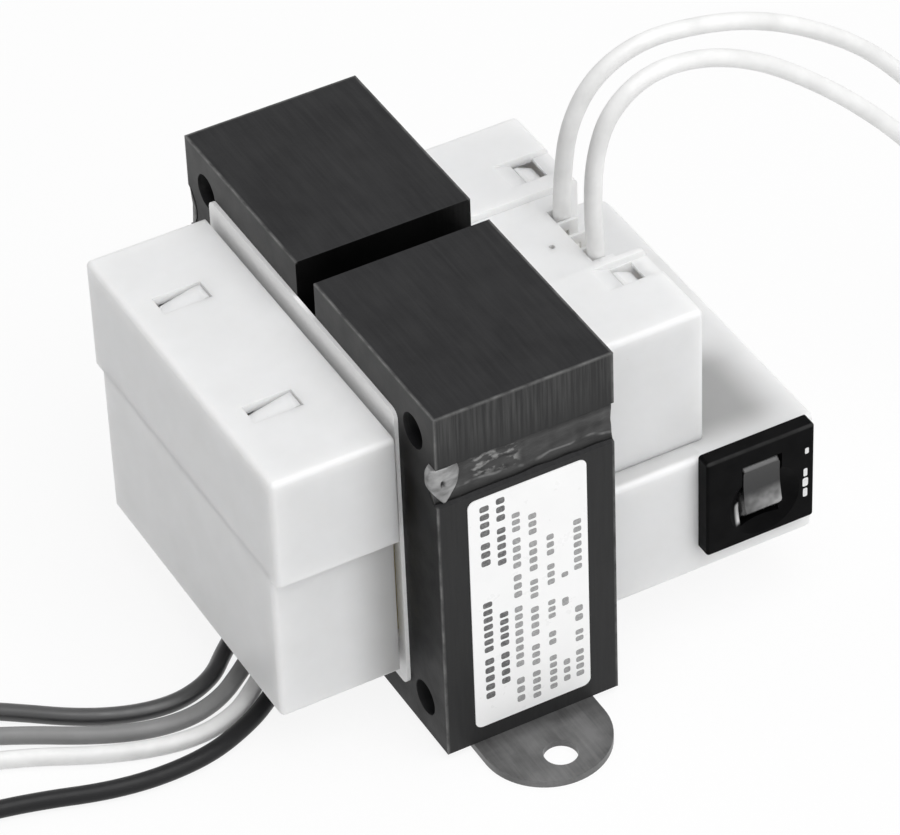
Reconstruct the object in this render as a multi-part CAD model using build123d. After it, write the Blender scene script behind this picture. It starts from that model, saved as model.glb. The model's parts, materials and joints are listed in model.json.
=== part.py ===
from build123d import *
import math
import os

# Foot mount transformer with a resettable circuit breaker. Millimetres, +Z up.
# Origin: underside of the foot, midway between its two holes. +X points to the breaker side,
# -Y to the front, where the rating label is. The core's stack runs along X.

# Laminated core
tongue = 25.4
outer_leg = 12.7
yoke = 12.7
window_height = 38.1
window_width = 12.7
stack = 28.6
yoke_slot = 5.6
core_hole_r = 2.8
core_hole_inset = 6.35
groove_r = 4.0
groove_depth = 2.3
bead_r = 2.4
bead_sink = 1.5
nugget_r = 3.0
nugget_proud = 0.9
nugget_out = 0.3
nugget_shape = (1, 0.8, 1.15)

# Foot plate
foot_thick = 1.2
foot_width = 20.0
foot_hole_spacing = 92.1
foot_end_margin = 5.45
foot_hole_r = 2.6

# Bobbin and windings
bobbin_wall = 1.3
flange_thick = 1.3
flange_proud = 0.6
flange_core_gap = 0.4
bobbin_end_gap = 0.15
bobbin_core_gap = 0.3
primary_share = 0.53
winding_gap = 0.1
winding_reach = 27.8
winding_side_gap = 1.0
winding_corner = 6.0
wrap_thick = 0.5
tube_corner = 2.0
tube_inner_corner = 0.7
flange_corner = 3.0
hook_root = 4.0
hook_flat = 0.6
hook_window_gap = 0.3
hook_side_gap = 0.35
hook_toe_share = 0.6

# Barrier plates between the core and the covers
barrier_thick = 0.6
barrier_y = (-27.3, 29.9)
barrier_below = 3.5
barrier_above = 2.7
barrier_corner = 1.5
barrier_coil_gap = 0.3

# Covers, shared sizes
wall = 1.6
cover_barrier_gap = 0.1
cover_bobbin_gap = 2.45
cover_corner = 0.9
cover_edge = 0.9
cover_inner_corner = 0.4
lap_gap = 0.1
lap_height = 3.0

# Left cover
left_coil_gap = 5.7
left_side_gap = 3.4
left_barrier_gap = 1.2
left_joint = 36.9
left_step_x = 0.15
left_step_y = 2.05
left_rim_wall = 1.2
left_window_inset = 4.4
left_window_length = 7.8
left_window_width = 4.0
left_window_spacing = 28.4
left_hook_rise = 3.85

# Right cover, upper shell
right_coil_gap = 1.9
right_side_gap = 1.3
right_joint = 31.9
recess_depth = 1.2
recess_front = -10.0
recess_rear = 9.0
channel_depth = 3.8
snap_channel_depth = 1.0
snap_channel_length = 9.4
snap_channels_y = ((-16.4, -11.0), (12.0, 17.8))
right_window_inset = 2.7
right_window_length = 3.7
right_windows_y = ((-15.9, -11.3), (12.9, 17.8))
right_hook_rise = 2.7
gate_mark = (25.0, -2.0)
gate_mark_r = 0.4
gate_mark_depth = 0.9

# Right cover, lower shell with the shelf over the breaker
shelf_out = 16.7
shelf_half_y = 31.0
shelf_roof = 1.2
shelf_edge = 0.9
shelf_front_corner = 1.0
shelf_rear_corner = 3.0
lip_wall = 1.1
lip_height = 1.2

# Leads
lead_d = 2.7
lead_slot = 3.0
slot_end_gap = 0.1
right_lead_inset = 1.8
right_lead_pitch = 3.5
right_first_y = 4.1
comb_depth = 11.7
left_lead_x = 25.0
left_lead_pitch = 4.4
left_first_y = 4.5
lead_z = 1.4
conductor_d = 1.2
conductor_length = 9.0

# Circuit breaker
bezel_width = 18.4
bezel_side_margin = 1.5
bezel_z = (14.7, 32.5)
bezel_thick = 2.5
bezel_corner = 0.5
bezel_edge = 0.4
case_inset = 2.0
case_depth = 23.0
case_hole_gap = 0.1
barb_proud = 0.8
barb_length = 3.4
barb_height = 5.0
opening_width = 6.8
opening_z = (17.7, 29.3)
opening_offset_x = 9.4
button_r = 6.0
button_axis_behind_face = 4.4
button_axis_z = 23.9
button_side_gap = 0.3
button_end_round = 0.35
button_face_half_angle = 38.0
button_face_tilt = 6.0
button_face_hollow = 0.35
button_round_gap = 0.12
trunnion_r = 1.1
trunnion_gap = 0.05
trunnion_length = 1.1
trunnion_end_gap = 0.1
dish_r = 6.0
dish_depth = 1.9
dish_offset_x = 0.5
dish_centre_z = 21.4
blade_spacing = 6.8
blade_thick = 0.8
blade_height = 6.3
blade_length = 6.5
blade_seat = 3.0
blade_tip = 1.0
wire_d = 2.1
wire_wrap_gap = 0.25

# Rating label on the front leg
label_width = 19.2
label_low = 4.1
label_high = 47.5
label_corner = 1.2
label_thick = 0.15

# Worked out from the sizes above
core_length = 2 * outer_leg + 2 * window_width + tongue
core_height = 2 * yoke + window_height
core_low = foot_thick
core_high = core_low + core_height
joint_z = core_high - yoke
window_low = core_low + yoke
half_stack = stack / 2
foot_length = foot_hole_spacing + 2 * foot_end_margin
core_face_y = core_length / 2

bobbin_low = window_low + bobbin_end_gap
bobbin_high = joint_z - bobbin_end_gap
cover_low = bobbin_low - cover_bobbin_gap - wall
cover_high = bobbin_high + cover_bobbin_gap + wall
barrier_z = (cover_low - barrier_below, cover_high + barrier_above)
tube_in = (half_stack + bobbin_core_gap, tongue / 2 + bobbin_core_gap)
tube_out = (tube_in[0] + bobbin_wall, tube_in[1] + bobbin_wall)
flange_y = tongue / 2 + window_width - flange_core_gap
winding_y = flange_y - winding_side_gap
winding_space = bobbin_high - bobbin_low - 3 * flange_thick
mid_flange_low = bobbin_low + flange_thick + primary_share * winding_space
wrap_reach = winding_reach + wrap_thick
flange_reach = winding_reach + flange_proud

barrier_face = half_stack + barrier_thick
cover_in = barrier_face + cover_barrier_gap
left_in = barrier_face + left_barrier_gap
left_reach = wrap_reach + left_coil_gap + wall
left_window_x = (left_reach - left_window_inset - left_window_length, left_reach - left_window_inset)
left_half_y = winding_y + wrap_thick + left_side_gap + wall
left_low_reach = left_reach - left_step_x
left_low_half_y = left_half_y - left_step_y
left_windows_y = [s * left_window_spacing / 2 for s in (-1, 1)]

channel_x = wrap_reach + right_coil_gap + wall
right_reach = channel_x + channel_depth
right_half_y = winding_y + wrap_thick + right_side_gap + wall
right_window_x = (right_reach - right_window_inset - right_window_length, right_reach - right_window_inset)
snap_channel_start = right_reach - snap_channel_length
right_lead_x = channel_x - right_lead_inset
shelf_reach = right_reach + shelf_out

bezel_x = (shelf_reach - bezel_side_margin - bezel_width, shelf_reach - bezel_side_margin)
bezel_front = -shelf_half_y - bezel_thick
opening_centre_x = bezel_x[0] + opening_offset_x
blade_x = (opening_centre_x - blade_spacing / 2, opening_centre_x + blade_spacing / 2)
button_y = bezel_front + button_axis_behind_face
button_half = opening_width / 2 - button_side_gap
case_x = (bezel_x[0] + case_inset, bezel_x[1] - case_inset)
case_z = (bezel_z[0] + case_inset, bezel_z[1] - case_inset)
case_back = -shelf_half_y + case_depth
blade_z = sum(case_z) / 2
right_slot_ys = [right_first_y - right_lead_pitch * n for n in range(4)]
left_slot_ys = [left_first_y - left_lead_pitch * n for n in range(4)]

# Routes of the leads and of the two wires inside, as points chosen by hand
primary_routes = [
    [(-25, 4.5, 13.8), (-25, 4.5, 9.4), (-25.3, 4.2, 5), (-27.6, 2.2, lead_z), (-31.9, -1.3, lead_z),
     (-37, -6.5, lead_z), (-45, -8.5, lead_z), (-55.5, -5, lead_z), (-67, 4, lead_z), (-80.5, 13, lead_z),
     (-98, 18, lead_z), (-116, 14.5, lead_z), (-130.5, 3.5, lead_z), (-138, -13, lead_z),
     (-138.5, -29, lead_z)],
    [(-25, 0.1, 13.8), (-25, 0.1, 9.4), (-25.2, -0.3, 5), (-27.2, -2.6, lead_z), (-31.8, -6.6, lead_z),
     (-38, -11, lead_z), (-45.5, -12.3, lead_z), (-55, -9.5, lead_z), (-68.5, -1, lead_z),
     (-83.5, 5.5, lead_z), (-100, 6, lead_z), (-114.5, -1.5, lead_z), (-123.5, -15.5, lead_z),
     (-126, -32, lead_z), (-122.5, -47, lead_z), (-115.5, -56, lead_z)],
    [(-25, -4.3, 13.8), (-25, -4.3, 9.4), (-25.2, -4.7, 5), (-27.2, -6.7, lead_z), (-31.2, -10.3, lead_z),
     (-37, -14.8, lead_z), (-45, -16.5, lead_z), (-56, -13.5, lead_z), (-70.5, -5.5, lead_z),
     (-85.5, -1.5, lead_z), (-99.5, -4.5, lead_z), (-109.5, -15, lead_z), (-113.5, -29.5, lead_z),
     (-111.5, -45, lead_z), (-103.5, -58.5, lead_z), (-91.5, -68, lead_z)],
    [(-25, -8.7, 13.8), (-25, -8.7, 9.4), (-25.1, -9, 5), (-26.8, -10.7, lead_z), (-30.2, -13.5, lead_z),
     (-36.2, -17.6, lead_z), (-45.5, -20.9, lead_z), (-58, -20.5, lead_z), (-72, -15.5, lead_z),
     (-85.5, -13, lead_z), (-96, -19.5, lead_z), (-101, -31.5, lead_z), (-100, -45.5, lead_z),
     (-92, -58.5, lead_z), (-78.5, -67.5, lead_z), (-62.5, -71, lead_z)],
]
secondary_routes = [
    [(30, 4.1, 44.5), (30, 4.1, 52.5), (30.4, 4.1, 62), (31.6, 4.1, 70.5), (35.8, 4.1, 77.5), (43.5, 4.1, 81),
     (53, 4.1, 80.2), (62.5, 4.1, 77.7), (72.5, 4.1, 72.6), (84, 4.1, 64), (95, 4.1, 50.5), (103.5, 4.3, 34.5),
     (110.5, 4.8, 18.5), (119.5, 5.4, 6.5), (131.5, 6.4, lead_z), (143.5, 9.5, lead_z)],
    [(30, -6.4, 44.5), (30, -6.4, 53), (29.4, -6.4, 62.5), (29.8, -6.4, 71.5), (32.2, -6.4, 79),
     (38.5, -6.4, 83.6), (47, -6.4, 83.3), (56, -6.4, 79.6), (64.5, -6.4, 73.5), (75, -6.4, 64),
     (86, -6.4, 51.5), (94.5, -6.6, 36.5), (101, -7.2, 20.5), (109, -8.1, 8), (121, -9.8, lead_z),
     (133, -13, lead_z)],
]
wire_x = wrap_reach + wire_wrap_gap + wire_d / 2
wire_routes = [
    [(wire_x, 15, 41), (wire_x, 15, 33.5), (wire_x + 0.8, 14.4, 27), (wire_x + 3.4, 12.5, 23.4),
     (blade_x[0], 6, blade_z), (blade_x[0], case_back + blade_length, blade_z)],
    [(wire_x, 18.5, 41), (wire_x, 18.5, 33.5), (wire_x + 1, 17.8, 27), (wire_x + 6.4, 15.5, 23.6),
     (blade_x[1], 8.5, blade_z), (blade_x[1], case_back + blade_length, blade_z)],
]


def block(x, y, z):
    """Block between two limits along each axis."""
    return Pos((x[0] + x[1]) / 2, (y[0] + y[1]) / 2, (z[0] + z[1]) / 2) * Box(
        abs(x[1] - x[0]), abs(y[1] - y[0]), abs(z[1] - z[0])
    )


def rect(first, second):
    """Rectangle between two limits along each of its plane's axes."""
    width = first[1] - first[0]
    height = second[1] - second[0]
    return Pos(first[0] + width / 2, second[0] + height / 2) * Rectangle(width, height)


def across(profile, x_low, x_high):
    """Profile drawn in Y and Z, drawn out along X."""
    return extrude(Plane.YZ.offset(x_low) * profile, x_high - x_low)


def ring(outer, inner, corner, inner_corner, z):
    """Rounded rectangular sleeve round the core's tongue; outer and inner are half sizes in X and Y."""
    profile = RectangleRounded(2 * outer[0], 2 * outer[1], corner)
    profile -= RectangleRounded(2 * inner[0], 2 * inner[1], inner_corner)
    return extrude(Pos(0, 0, z[0]) * profile, z[1] - z[0])


def side_block(x, half_y, z_open, z_closed, corner, edge):
    """Block that bulges away from the core, from x[0] at the core to x[1].

    Its upright corners at x[1] and the edges round its face at z_closed are rounded."""
    plan = rect((min(x), max(x)), (-half_y, half_y))
    far = [v for v in plan.vertices() if abs(v.X - x[1]) < 0.01]
    solid = extrude(Pos(0, 0, z_open) * fillet(far, corner), z_closed - z_open)
    rim = [
        e for e in solid.edges()
        if abs(e.center().Z - z_closed) < 0.01 and abs(e.center().X - x[0]) > 0.01
    ]
    return fillet(rim, edge)


def left_shell(reach, half_y, z_open, z_closed):
    """Shell of the left cover, open towards the core and at z_open."""
    inward = math.copysign(1, z_open - z_closed)
    outer = side_block((-left_in, -reach), half_y, z_open, z_closed, cover_corner, cover_edge)
    cavity = side_block(
        (-(left_in - 1), -(reach - wall)), half_y - wall,
        z_open + inward, z_closed + inward * wall, cover_inner_corner, cover_inner_corner
    )
    return outer - cavity


def snap_hook(side, window_x, window_y, rise, top):
    """Hook on a tongue of the bobbin's end flange, inside a window; its slope faces away from the core."""
    up = 1 if top else -1
    face = bobbin_high if top else bobbin_low
    root = side * (flange_reach - hook_root)
    inner = window_x[0] + hook_window_gap
    outer = side * (window_x[1] - hook_window_gap)
    profile = Polygon(
        (root, face - up * flange_thick), (root, face), (side * inner, face), (side * inner, face + up * rise),
        (side * (inner + hook_flat), face + up * rise), (outer, face + up * hook_toe_share * rise),
        (outer, face - up * flange_thick), align=None
    )
    middle = (window_y[0] + window_y[1]) / 2
    width = window_y[1] - window_y[0] - 2 * hook_side_gap
    return extrude(Plane.XZ.offset(-middle) * profile, width / 2, both=True)


def corner_radii(points):
    """Arc radius at each inner point: as large as 0.45 of the shorter run allows."""
    radii = []
    for before, here, after in zip(points, points[1:], points[2:]):
        first = Vector(*here) - Vector(*before)
        second = Vector(*after) - Vector(*here)
        half_turn = math.radians(first.get_angle(second)) / 2
        radii.append(0.45 * min(first.length, second.length) / math.tan(half_turn))
    return radii


def wire(name, points, diameter):
    """Round wire along straight runs joined by tangent arcs."""
    radii = corner_radii(points)
    path = FilletPolyline(*points, radius=radii)
    section = Plane(origin=points[0], z_dir=Vector(*points[1]) - Vector(*points[0])) * Circle(diameter / 2)
    solid = sweep(section, path=path)
    expected = math.pi * diameter**2 / 4 * path.length
    print(name, "length", round(path.length, 1), "smallest arc", round(min(radii), 1),
          "volume over section times length", round(solid.volume / expected, 4))
    print("  arcs", [round(r, 1) for r in radii])
    return solid


def bare_end(points):
    """Stripped conductor that carries on from the insulation's end."""
    start = Vector(*points[-1])
    along = (start - Vector(*points[-2])).normalized()
    return extrude(Plane(origin=start, z_dir=along) * Circle(conductor_d / 2), conductor_length)


def core_corner_holes():
    """The four bolt holes through the corners of the stack, as a profile in Y and Z."""
    y = core_face_y - core_hole_inset
    return [Pos(s * y, z) * Circle(core_hole_r)
            for s in (-1, 1) for z in (core_low + core_hole_inset, core_high - core_hole_inset)]


def weld_groove(side):
    """Half-round groove that runs along X over the joint of the laminations."""
    return Pos(side * (core_face_y + groove_r - groove_depth), joint_z) * Circle(groove_r)


def core_e_stack():
    profile = rect((-core_face_y, core_face_y), (core_low, joint_z))
    for side in (-1, 1):
        near = side * tongue / 2
        far = side * (tongue / 2 + window_width)
        profile -= rect((min(near, far), max(near, far)), (window_low, joint_z + 1))
        profile -= weld_groove(side)
    for hole in core_corner_holes():
        profile -= hole
    return across(profile, -half_stack, half_stack)


def core_yoke(side):
    near = side * yoke_slot / 2
    far = side * core_face_y
    profile = rect((min(near, far), max(near, far)), (joint_z, core_high)) - weld_groove(side)
    for hole in core_corner_holes():
        profile -= hole
    return across(profile, -half_stack, half_stack)


def weld_bead(side):
    """Bead on the groove's floor, with the swollen end where the weld was started."""
    floor_y = core_face_y - groove_depth
    profile = weld_groove(side) & (Pos(side * (floor_y - bead_sink), joint_z) * Circle(bead_r))
    bead = across(profile, -half_stack, half_stack)
    centre_x = side * (half_stack + nugget_proud - nugget_r)
    centre_y = side * (core_face_y + nugget_out - nugget_r * nugget_shape[1])
    nugget = Pos(centre_x, centre_y, joint_z) * scale(Sphere(nugget_r), nugget_shape)
    return (bead + nugget) - core_e_stack() - core_yoke(side)


def foot_plate():
    plan = Rot(0, 0, 90) * SlotOverall(foot_length, foot_width)
    for side in (-1, 1):
        plan -= Pos(0, side * foot_hole_spacing / 2) * Circle(foot_hole_r)
    return extrude(plan, foot_thick)


def bobbin():
    flanges = [bobbin_low, mid_flange_low, bobbin_high - flange_thick]
    body = ring(tube_out, tube_in, tube_corner, tube_inner_corner, (bobbin_low, bobbin_high))
    for z in flanges:
        body += ring((flange_reach, flange_y), tube_in, flange_corner, tube_inner_corner, (z, z + flange_thick))
    half = left_window_width / 2
    for top in (True, False):
        for y in left_windows_y:
            body += snap_hook(-1, left_window_x, (y - half, y + half), left_hook_rise, top)
        for window_y in right_windows_y:
            body += snap_hook(1, right_window_x, window_y, right_hook_rise, top)
    return body


def winding(low, high):
    """Turns of one winding as one solid, between two flanges."""
    inner = (tube_out[0] + winding_gap, tube_out[1] + winding_gap)
    return ring((winding_reach, winding_y), inner, winding_corner, tube_corner + winding_gap,
                (low + winding_gap, high - winding_gap))


def wrap(low, high):
    """Tape round one winding."""
    outer = (wrap_reach, winding_y + wrap_thick)
    return ring(outer, (winding_reach, winding_y), winding_corner + wrap_thick, winding_corner,
                (low + winding_gap, high - winding_gap))


def barrier(side):
    profile = rect(barrier_y, barrier_z)
    profile = fillet(profile.vertices(), barrier_corner)
    coil_y = flange_y + barrier_coil_gap
    profile -= rect((-coil_y, coil_y), (bobbin_low - barrier_coil_gap, bobbin_high + barrier_coil_gap))
    near = side * half_stack
    far = side * barrier_face
    return across(profile, min(near, far), max(near, far))


def left_windows(shell, z):
    """The shell with its two windows for the bobbin's hooks cut through the wall at z."""
    half = left_window_width / 2
    for y in left_windows_y:
        shell -= block((-left_window_x[1], -left_window_x[0]), (y - half, y + half), (z - 2 * wall, z + 2 * wall))
    return shell


def left_cover_top():
    return left_windows(left_shell(left_reach, left_half_y, left_joint, cover_high), cover_high)


def left_cover_bottom():
    """Lower shell, whose rim stands inside the upper shell's skirt."""
    shell = left_shell(left_low_reach, left_low_half_y, left_joint, cover_low)
    rim_reach = left_reach - wall - lap_gap
    rim = rect((-rim_reach, -left_in), (-left_low_half_y, left_low_half_y))
    rim -= rect((-rim_reach + left_rim_wall, -left_in + 1), (-left_low_half_y + wall, left_low_half_y - wall))
    shell += extrude(Pos(0, 0, left_joint - lap_height) * rim, 2 * lap_height)
    shell = left_windows(shell, cover_low)
    for y in left_slot_ys:
        shell -= Pos(-left_lead_x, y, cover_low) * Box(lead_slot, lead_slot, 4 * wall)
    return shell


def right_plan(inset):
    """Plan of the right upper cover moved inwards by inset, with its step for the leads' channel."""
    outline = rect((cover_in - inset, right_reach - inset), (-right_half_y + inset, right_half_y - inset))
    step = rect((channel_x - inset, right_reach + 1), (recess_front - inset, recess_rear + inset))
    return outline - step


def right_cover_top():
    shell = side_block((cover_in, right_reach), right_half_y, right_joint, cover_high, cover_corner, cover_edge)
    shell -= block((channel_x, right_reach + 1), (recess_front, recess_rear), (right_joint - 1, cover_high + 1))
    recess_z = cover_high - recess_depth
    shell -= block((cover_in - 1, right_reach + 1), (recess_front, recess_rear), (recess_z, cover_high + 1))
    cavity = extrude(Pos(0, 0, right_joint - 1) * right_plan(wall), cover_high - wall - right_joint + 1)
    cavity -= block((cover_in - wall, right_reach), (recess_front - wall, recess_rear + wall),
                    (recess_z - wall, cover_high))
    shell -= cavity
    floor = cover_high - snap_channel_depth
    ramp = Polygon(
        (snap_channel_start, cover_high), (right_window_x[0], floor), (right_reach + 1, floor),
        (right_reach + 1, cover_high + 1), (snap_channel_start, cover_high + 1), align=None
    )
    for low, high in snap_channels_y:
        shell -= extrude(Plane.XZ.offset(-(low + high) / 2) * ramp, (high - low) / 2, both=True)
    for window_y in right_windows_y:
        shell -= block(right_window_x, window_y, (cover_high - 3 * wall, cover_high + 1))
    for y in right_slot_ys:
        shell -= block((right_lead_x - lead_slot / 2 - slot_end_gap, channel_x + 1), (y - lead_slot / 2, y + lead_slot / 2),
                       (recess_z - comb_depth, cover_high))
    shell -= Pos(gate_mark[0], gate_mark[1], recess_z) * Cylinder(gate_mark_r, 2 * gate_mark_depth)
    return shell


def right_cover_bottom():
    """Lower shell of the right cover and the shelf that houses the breaker, one moulding."""
    plan = rect((cover_in, shelf_reach), (-shelf_half_y, shelf_half_y))
    front = [v for v in plan.vertices() if v.X > shelf_reach - 1 and v.Y < 0]
    plan = fillet(front, shelf_front_corner)
    rear = [v for v in plan.vertices() if v.X > shelf_reach - 1 and v.Y > 0]
    plan = fillet(rear, shelf_rear_corner)
    shell = extrude(Pos(0, 0, cover_low) * plan, right_joint - cover_low)
    rims = [
        e for e in shell.edges()
        if abs(e.tangent_at(0.5).Z) < 0.01 and e.center().X > cover_in + 0.01
    ]
    shell = fillet(rims, shelf_edge)
    shell -= side_block((cover_in - 1, shelf_reach - wall), shelf_half_y - wall, right_joint - shelf_roof,
                        cover_low + wall, shelf_rear_corner - wall, cover_inner_corner)
    lip = right_plan(wall + lap_gap)
    shell += extrude(Pos(0, 0, right_joint - shelf_roof) * lip, shelf_roof + lip_height)
    mouth = right_plan(wall + lap_gap + lip_wall)
    shell -= extrude(Pos(0, 0, cover_low + 2 * wall) * mouth, right_joint + 2 * lip_height)
    shell -= block((0, cover_in), (-shelf_half_y, shelf_half_y), (cover_low, cover_high))
    for window_y in right_windows_y:
        shell -= block(right_window_x, window_y, (cover_low - 1, cover_low + 2 * wall))
    gap = case_hole_gap
    shell -= block((case_x[0] - gap, case_x[1] + gap), (-shelf_half_y - 1, -shelf_half_y + 2 * wall),
                   (case_z[0] - gap, case_z[1] + gap))
    return shell


def breaker_housing():
    face = rect(bezel_x, bezel_z)
    face = fillet(face.vertices(), bezel_corner)
    bezel = extrude(Plane.XZ.offset(shelf_half_y) * face, bezel_thick)
    front = [e for e in bezel.edges() if abs(e.center().Y - bezel_front) < 0.01]
    bezel = fillet(front, bezel_edge)
    case = block(case_x, (-shelf_half_y, case_back), case_z)
    barb_start = -shelf_half_y + wall + case_hole_gap
    for x, out in ((case_x[0], -1), (case_x[1], 1)):
        barb = Polygon((x, barb_start), (x + out * barb_proud, barb_start), (x, barb_start + barb_length), align=None)
        case += extrude(Pos(0, 0, blade_z) * barb, barb_height / 2, both=True)
    housing = bezel + case
    dish_ball = (dish_r**2 + dish_depth**2) / (2 * dish_depth)
    dish_x = opening_centre_x + dish_offset_x
    housing -= Pos(dish_x, bezel_front + dish_depth - dish_ball, dish_centre_z) * Sphere(dish_ball)
    half = opening_width / 2
    pocket = Pos(opening_centre_x, button_y, button_axis_z) * Rot(0, 90, 0) * Cylinder(
        button_r + button_round_gap, opening_width
    )
    housing -= pocket
    housing -= block((opening_centre_x - half, opening_centre_x + half), (bezel_front - 1, button_y), opening_z)
    bore_length = 2 * (button_half + trunnion_length + trunnion_end_gap)
    housing -= Pos(opening_centre_x, button_y, button_axis_z) * Rot(0, 90, 0) * Cylinder(
        trunnion_r + trunnion_gap, bore_length
    )
    for x in blade_x:
        housing -= block((x - blade_thick / 2, x + blade_thick / 2), (case_back - blade_seat, case_back + 1),
                         (blade_z - blade_height / 2, blade_z + blade_height / 2))
    return housing


def breaker_button():
    """Barrel rocker whose face is a shallow hollow between two ridges, with its two trunnions."""
    at_axis = Pos(opening_centre_x, button_y, button_axis_z)
    barrel = Rot(0, 90, 0) * Cylinder(button_r, 2 * button_half)
    ends = [e for e in barrel.edges() if e.geom_type == GeomType.CIRCLE]
    barrel = fillet(ends, button_end_round)
    half_angle = math.radians(button_face_half_angle)
    half_chord = button_r * math.sin(half_angle)
    hollow_r = (half_chord**2 + button_face_hollow**2) / (2 * button_face_hollow)
    reach = button_r * math.cos(half_angle) - button_face_hollow + hollow_r
    tilt = math.radians(button_face_tilt)
    barrel -= Pos(0, -reach * math.cos(tilt), reach * math.sin(tilt)) * Rot(0, 90, 0) * Cylinder(
        hollow_r, 3 * button_half
    )
    barrel += Rot(0, 90, 0) * Cylinder(trunnion_r, 2 * (button_half + trunnion_length))
    return at_axis * barrel


def breaker_blade(x):
    """Blade terminal at the breaker's back, seated in the case."""
    half = blade_height / 2
    blade = block((x - blade_thick / 2, x + blade_thick / 2), (case_back - blade_seat, case_back + blade_length),
                  (blade_z - half, blade_z + half))
    tips = [
        e for e in blade.edges()
        if abs(e.center().Y - case_back - blade_length) < 0.01 and abs(e.tangent_at(0.5).X) > 0.9
    ]
    return chamfer(tips, blade_tip)


def rating_label():
    face = rect((-label_width / 2, label_width / 2), (label_low, label_high))
    face = fillet(face.vertices(), label_corner)
    return extrude(Plane.XZ.offset(core_face_y) * face, label_thick)


pieces = {
    "core_e_stack": core_e_stack(),
    "core_yoke_front": core_yoke(-1),
    "core_yoke_rear": core_yoke(1),
    "weld_bead_front": weld_bead(-1),
    "weld_bead_rear": weld_bead(1),
    "foot_plate": foot_plate(),
    "bobbin": bobbin(),
    "primary_winding": winding(bobbin_low + flange_thick, mid_flange_low),
    "secondary_winding": winding(mid_flange_low + flange_thick, bobbin_high - flange_thick),
    "primary_wrap": wrap(bobbin_low + flange_thick, mid_flange_low),
    "secondary_wrap": wrap(mid_flange_low + flange_thick, bobbin_high - flange_thick),
    "barrier_left": barrier(-1),
    "barrier_right": barrier(1),
    "left_cover_top": left_cover_top(),
    "left_cover_bottom": left_cover_bottom(),
    "right_cover_top": right_cover_top(),
    "right_cover_bottom": right_cover_bottom(),
    "breaker_housing": breaker_housing(),
    "breaker_button": breaker_button(),
    "breaker_blade_line": breaker_blade(blade_x[0]),
    "breaker_blade_load": breaker_blade(blade_x[1]),
    "rating_label": rating_label(),
}
for name, route in zip(("breaker_wire_line", "breaker_wire_load"), wire_routes):
    pieces[name] = wire(name, route, wire_d)
for kind, routes in (("primary", primary_routes), ("secondary", secondary_routes)):
    for number, route in enumerate(routes, 1):
        name = f"{kind}_lead_{number}"
        pieces[name] = wire(name, route, lead_d)
        pieces[f"{name}_end"] = bare_end(route)

os.makedirs("parts", exist_ok=True)
for name, solid in pieces.items():
    export_step(solid, f"parts/{name}.step")
    box = solid.bounding_box()
    print(name, "solids", len(solid.solids()), "valid", solid.is_valid, "volume", round(solid.volume, 1),
          "x", round(box.min.X, 2), round(box.max.X, 2), "y", round(box.min.Y, 2), round(box.max.Y, 2),
          "z", round(box.min.Z, 2), round(box.max.Z, 2))
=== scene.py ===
import json
import math

import bmesh
import bpy
from mathutils import Matrix, Vector, noise


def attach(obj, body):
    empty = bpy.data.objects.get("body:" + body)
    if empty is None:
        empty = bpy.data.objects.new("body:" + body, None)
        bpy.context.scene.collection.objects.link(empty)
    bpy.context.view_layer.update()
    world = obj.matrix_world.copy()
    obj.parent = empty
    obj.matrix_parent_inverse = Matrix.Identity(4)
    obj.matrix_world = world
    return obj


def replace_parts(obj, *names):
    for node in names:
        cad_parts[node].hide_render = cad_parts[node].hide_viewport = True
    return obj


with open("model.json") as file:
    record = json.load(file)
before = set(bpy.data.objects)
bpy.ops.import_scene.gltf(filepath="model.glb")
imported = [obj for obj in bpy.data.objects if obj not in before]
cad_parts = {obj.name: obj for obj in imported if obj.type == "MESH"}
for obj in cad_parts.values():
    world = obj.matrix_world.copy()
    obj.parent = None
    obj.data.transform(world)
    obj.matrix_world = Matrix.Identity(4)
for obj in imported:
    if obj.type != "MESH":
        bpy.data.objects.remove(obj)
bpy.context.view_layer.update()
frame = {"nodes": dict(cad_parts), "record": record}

MM = 0.001
scene = bpy.context.scene
scene.view_settings.view_transform = "Standard"

# Sizes of the core that its looks and its welds follow, in millimetres
half_stack = 14.3
core_half_length = 38.1
core_top = 64.7


# Camera, at the photograph's viewing angle

def make_camera():
    azimuth, elevation, roll = (math.radians(a) for a in (-27.402, 40.129, -2.412))
    target = Vector((4.798, -6.309, 34.027)) * MM
    distance = 746.525 * MM
    back = Vector((
        math.sin(azimuth) * math.cos(elevation),
        -math.cos(azimuth) * math.cos(elevation),
        math.sin(elevation),
    ))
    right = (-back).cross(Vector((0, 0, 1))).normalized()
    up = right.cross(-back)
    across = right * math.cos(roll) + up * math.sin(roll)
    upward = up * math.cos(roll) - right * math.sin(roll)
    data = bpy.data.cameras.new("camera")
    data.lens = 203.55
    data.sensor_width = 36
    data.sensor_fit = "HORIZONTAL"
    data.clip_start = 0.01
    data.clip_end = 20
    camera = bpy.data.objects.new("camera", data)
    scene.collection.objects.link(camera)
    camera.matrix_world = Matrix((
        (across.x, upward.x, back.x, target.x + back.x * distance),
        (across.y, upward.y, back.y, target.y + back.y * distance),
        (across.z, upward.z, back.z, target.z + back.z * distance),
        grey(0),
    ))
    scene.camera = camera


# Materials

noise_roughness = 0.55
# Places of a colour Mix node's sockets, several of which share one name
mix_factor, mix_first, mix_second, mix_result = 0, 6, 7, 2


def grey(level):
    return (level, level, level, 1)


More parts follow.
